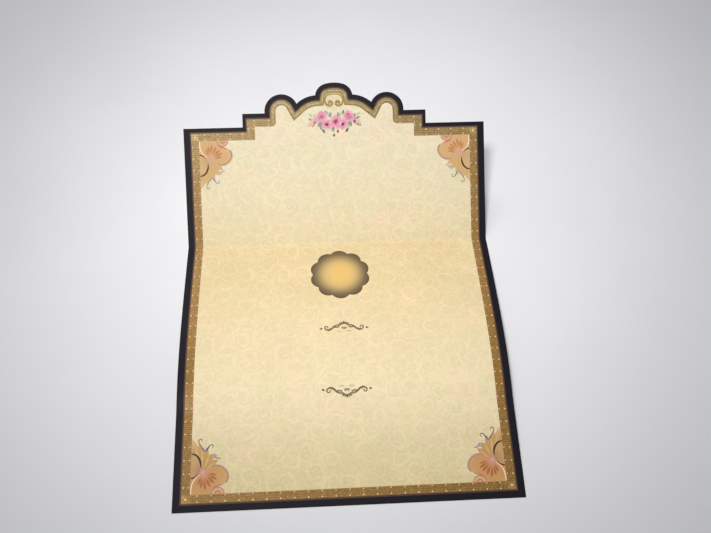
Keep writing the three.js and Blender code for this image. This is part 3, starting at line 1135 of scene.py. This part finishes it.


# %% [markdown]
# Gold, medallion and the plain inks
#
# The gold is printed, not foil: a brown-gold with a little sheen. A ramp along the card gives its
# tones from the front edge to the head, partly painted light: darker in front, as painted shade
# where the light falls off. A Brick Texture weaves the mosaic's fine bricks, four to a stud's
# pitch, worn in places and with small glints. The medallion is a ramp over the distance from its
# centre. The small ornaments are plain inks, named by what they colour.


# %% Gold ink
BRICK_LENGTH = STUD_PITCH / 4
BRICK_HEIGHT = 1.3


def gold_ink(name, *tones):
    """Printed gold, toned along the card with painted light, woven like a band of fine bricks."""
    gold = Finish(name, Specular_IOR_Level=SHEEN, Metallic=0.12)
    place = gold.flat()
    _, along = gold.parts(place)
    stops = [(k / (len(tones) - 1), tone) for k, tone in enumerate(tones)]
    # painted light: the tones darken towards the front, where the light falls off
    toned = gold.ramp(along / FLAT_LENGTH, *stops)
    warm = gold.smooth(gold.noise(place, 9, detail=3, roughness=0.6), 0.45, 0.65)
    below_head = 1 - gold.smooth(along / FLAT_LENGTH, 0.8, 0.95)
    toned = gold.mix(warm * below_head * 0.3, toned, srgb(184, 124, 58))
    bricks = {
        "Vector": place, "Color1": (0, 0, 0, 1), "Color2": (0.3, 0.3, 0.3, 1), "Mortar": (1, 1, 1, 1),
        "Scale": 1.0, "Mortar Size": 0.24, "Mortar Smooth": 0.4, "Brick Width": BRICK_LENGTH,
        "Row Height": BRICK_HEIGHT,
    }
    weave = gold.node("ShaderNodeTexBrick", {"offset": 0.5}, bricks)
    worn = gold.smooth(gold.noise(place, 2.6, detail=2, roughness=0.7), 0.25, 0.6)
    tiled = gold.mix(weave * worn * 0.8, toned, srgb(104, 70, 32))
    glints = gold.smooth(gold.noise(place, 0.9, detail=2), 0.58, 0.72)
    return print_on_paper(gold, gold.mix(glints * 0.4, tiled, srgb(226, 196, 134)), gloss=0.42)


# %% [markdown]
# The shell's inks
#
# The shells are painted, not flat: streaks of orange and ochre run out of the point where the ribs
# meet. Distance and angle about that point, measured from the nearest corner, drive the streaks, so
# one ink serves all four corners. The print is painted lighter on the flap than in front, as
# painted light: the flap is more brightly lit and the front lies where the light falls off. So the
# streaks fade on the flap, and the ribs and scrolls have a lit tone for the flap and a shaded tone
# for the front.


# %% Shell inks
def streaked_ink(name, near, inner, outer, far, length):
    """An ink in streaks from the shell's apex, with four colours from near to far."""
    painted = Finish(name, Specular_IOR_Level=SHEEN)
    across, along = painted.parts(painted.flat())
    a = CORNER_U - painted.math("ABSOLUTE", across - HALF_WIDTH)
    from_top = (CORNER_TOP - FRONT_EDGE) - along
    d = painted.math("MINIMUM", from_top, along - (CORNER_FRONT - FRONT_EDGE))
    da, dd = a - APEX.x, d - APEX.y
    reach = painted.math("SQRT", da * da + dd * dd)
    angle = painted.math("ARCTAN2", dd, da)
    polar = painted.node("ShaderNodeCombineXYZ", {}, {0: angle * 14, 1: reach * 0.35, 2: 0.0})
    streaks = painted.noise(polar, 3.2, detail=3, roughness=0.6)
    share = reach / length + (streaks - 0.5) * 0.5
    shading = painted.ramp(share, (0.0, near), (0.28, inner), (0.68, outer), (1.0, far))
    # painted light: the streaks are lightened on the flap, which is more brightly lit
    painted_flap_light = painted.smooth(along / FLAT_LENGTH, 0.5, 0.8)
    shading = painted.mix(painted_flap_light * 0.3, shading, srgb(234, 204, 150))
    dark = painted.smooth(streaks, 0.55, 0.7)
    return print_on_paper(painted, painted.mix(dark * 0.3, shading, srgb(172, 112, 62)))


def lit_flap_shaded_front_ink(name, painted_front_shade, painted_flap_light):
    """An ornament's ink, lighter on the flap as painted light and deeper in front as painted shade."""
    lit_and_shaded = Finish(name, Specular_IOR_Level=SHEEN)
    _, along = lit_and_shaded.parts(lit_and_shaded.flat())
    # painted light: the shaded front tone blends into the lit flap tone along the card
    share = lit_and_shaded.smooth(along / FLAT_LENGTH, 0.4, 0.7)
    return print_on_paper(lit_and_shaded, lit_and_shaded.mix(share, srgb(*painted_front_shade), srgb(*painted_flap_light)))


# %% Medallion ink
def medallion_ink():
    """Gold in the middle and dark brown at the rim, by the distance from the centre."""
    medallion = Finish("medallion", Specular_IOR_Level=0.4)
    place = medallion.flat()
    centre = (MEDALLION_CENTRE.x + HALF_WIDTH, MEDALLION_CENTRE.y - FRONT_EDGE, 0)
    away = medallion.vector("SUBTRACT", place, centre)
    length = medallion.node("ShaderNodeVectorMath", {"operation": "LENGTH"}, {0: away}, out=1)
    shading = medallion.ramp(
        length / (LOBE_ARC_CENTRE + LOBE_ARC_RADIUS),
        (0.0, (229, 187, 108)), (0.28, (228, 188, 111)), (0.50, (209, 177, 109)),
        (0.66, (172, 146, 92)), (0.82, (122, 102, 68)), (1.0, (86, 66, 42)),
    )
    return print_on_paper(medallion, shading, drift=0.04)


# %% Bare card
def bare_card_finish():
    """The uncoated back and the cut edge: off-white, matte, with visible fibres."""
    bare = Finish("bare_card", Specular_IOR_Level=0.2)
    place = bare.flat()
    fibres = bare.noise(place, 1.2, detail=5, roughness=0.7)
    flecks = bare.smooth(bare.noise(place, 0.5, detail=2), 0.66, 0.74)
    toned = bare.mix(fibres, srgb(238, 233, 220), srgb(247, 244, 235))
    flecked = bare.mix(flecks * 0.25, toned, srgb(214, 203, 180))
    return print_on_paper(bare, flecked, drift=0.02, gloss=0.8, tooth=0.6)


# %% The ink cabinet
# each gold's tones run from the front edge to the head; the darker front tones are painted shade
GOLDS = {
    "gold": ((152, 118, 58), (158, 122, 60), (166, 130, 72), (168, 136, 84), (158, 142, 96)),
    "gold_inner": ((166, 120, 56), (172, 128, 64), (174, 138, 82), (168, 148, 100)),
    "corner_gold": ((180, 142, 76), (188, 158, 98), (196, 172, 116)),
    "arch_light": ((196, 180, 134), (196, 180, 134)),
    "arch_deep": ((146, 128, 80), (146, 128, 80)),
    "volute": ((166, 144, 84), (166, 144, 84)),
}
STREAKED_INKS = {
    "shell": ((208, 154, 128), (206, 146, 98), (203, 154, 96), (210, 174, 112), 17),
    "petal": ((196, 146, 112), (192, 148, 90), (198, 160, 98), (216, 180, 134), 21),
    "boss": ((168, 120, 102), (180, 134, 98), (196, 154, 104), (200, 162, 108), 9),
}
# each ink's shaded tone for the front, then its lit tone for the flap: painted light
LIT_FLAP_SHADED_FRONT_INKS = {
    "rib": ((170, 112, 54), (188, 130, 78)),
    "rib_red": ((180, 108, 60), (196, 130, 84)),
    "violet": ((108, 90, 102), (148, 130, 134)),
    "violet_soft": ((160, 138, 144), (184, 168, 166)),
}
PLAIN_INKS = {
    "dark_edge": (26, 22, 32),
    "brown_line": (78, 54, 42),
    "medallion_rim": (92, 70, 42),
    "stud": (230, 204, 152),
    "olive": (108, 94, 64),
    "olive_mid": (130, 114, 80),
    "olive_soft": (200, 182, 134),
    "petal_rib": (212, 172, 112),
    "pale_strip": (252, 226, 186),
    "mauve": (170, 134, 114),
    "mauve_soft": (214, 188, 164),
    "coral": (198, 110, 86),
    "pale_rose": (222, 166, 138),
    "curl_ground": (214, 164, 128),
    "brown_arc": (74, 46, 34),
    "apex_rose": (206, 156, 134),
    "apex_glow": (212, 168, 152),
    "wash": (230, 206, 182),
    "mauve_wash": (206, 176, 172),
    "rose": (222, 146, 170),
    "rose_light": (230, 157, 178),
    "rose_pale": (228, 184, 184),
    "bud_peach": (222, 186, 164),
    "rose_mid": (204, 132, 152),
    "rose_hot": (190, 100, 128),
    "rose_deep": (158, 56, 92),
    "rose_heart": (126, 34, 66),
    "leaf": (146, 150, 128),
    "twig": (170, 128, 112),
    "leaf_pale": (190, 192, 166),
    "leaf_dark": (104, 108, 96),
    "berry": (160, 104, 80),
    "berry_dark": (134, 82, 82),
}
DARK_SHEEN = 0.12

MATERIALS = {"cream": cream_ink(), "medallion": medallion_ink(), "bare_card": bare_card_finish()}
for name, tones in GOLDS.items():
    MATERIALS[name] = gold_ink(name, *tones)
for name, tones in STREAKED_INKS.items():
    MATERIALS[name] = streaked_ink(name, *tones)
for name, tones in LIT_FLAP_SHADED_FRONT_INKS.items():
    MATERIALS[name] = lit_flap_shaded_front_ink(name, *tones)
for name, colour in PLAIN_INKS.items():
    MATERIALS[name] = ink(name, colour, DARK_SHEEN if name == "dark_edge" else SHEEN)
print("inks:", len(MATERIALS), "of which unused:", sorted(set(MATERIALS) - set(INK_NAMES)))

# %% [markdown]
# Put the sheet in place of the plain solid
#
# The printed sheet has the frame's form, with the print cut into it, so it stands for the node and
# rides on the row's one body.

# %% The sheet in the frame
card_sheet = build_sheet()
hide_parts("invitation_card")
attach(card_sheet, "root")
print("card_sheet:", len(card_sheet.data.polygons), "faces,", len(card_sheet.data.materials), "inks")

# %% [markdown]
# Table, light and backdrop
#
# The card lies on a plain pale surface. Two spots light it: one from the front left pools its
# light about the card, and one from behind softens the shade of the raised flap. Both fade towards
# the edge of their cones, so the floor darkens outwards as it does under a small lamp, and an even
# pale world fills the rest.


# %% Table
def table_finish():
    """A matte pale surface with a slow drift in tone, measured from the table's own middle."""
    table = Finish("table", Specular_IOR_Level=0.1, Roughness=0.7)
    place = table.node("ShaderNodeTexCoord", {}, {}, out=3)
    soft = table.noise(place, 0.09, detail=3)
    table.feed("Base Color", table.mix(soft, srgb(228, 229, 233), srgb(236, 236, 238)))
    return table.material


TABLE_HALF = 3.0
table_mesh = bpy.data.meshes.new("table")
table_corners = [(a, b, 0) for a, b in tile((0, 0), TABLE_HALF)]
table_mesh.from_pydata(table_corners, [], [(0, 1, 2, 3)])
table_mesh.materials.append(table_finish())
table = bpy.data.objects.new("table", table_mesh)
bpy.context.collection.objects.link(table)


# %% Lights
def spot(name, energy, cone, softness, place, target):
    """A spot turned to its target, fading from its middle to the edge of its cone in degrees."""
    light = bpy.data.lights.new(name, "SPOT")
    light.energy = energy
    light.spot_size = math.radians(cone)
    light.spot_blend = 1.0
    light.shadow_soft_size = softness
    light.color = (1.0, 0.985, 0.97)
    lamp = bpy.data.objects.new(name, light)
    lamp.location = place
    lamp.rotation_euler = (Vector(target) - Vector(place)).to_track_quat("-Z", "Y").to_euler()
    bpy.context.collection.objects.link(lamp)


spot("pool", 44.5, 30.8, 0.14, place=(-0.285, -0.269, 1.199), target=(0.012, 0.072, 0))
spot("back", 21.5, 77.0, 0.25, place=(-0.36, 1.0, 1.20), target=(-0.07, 0.05, 0))

world = bpy.data.worlds.new("studio")
bpy.context.scene.world = world
world.use_nodes = True
sky = world.node_tree.nodes["Background"]
sky.inputs["Color"].default_value = (0.97, 0.98, 1.0, 1)
sky.inputs["Strength"].default_value = 0.36
bpy.context.scene.view_settings.view_transform = "Standard"
print("lamps: pool and back; world strength:", sky.inputs["Strength"].default_value)
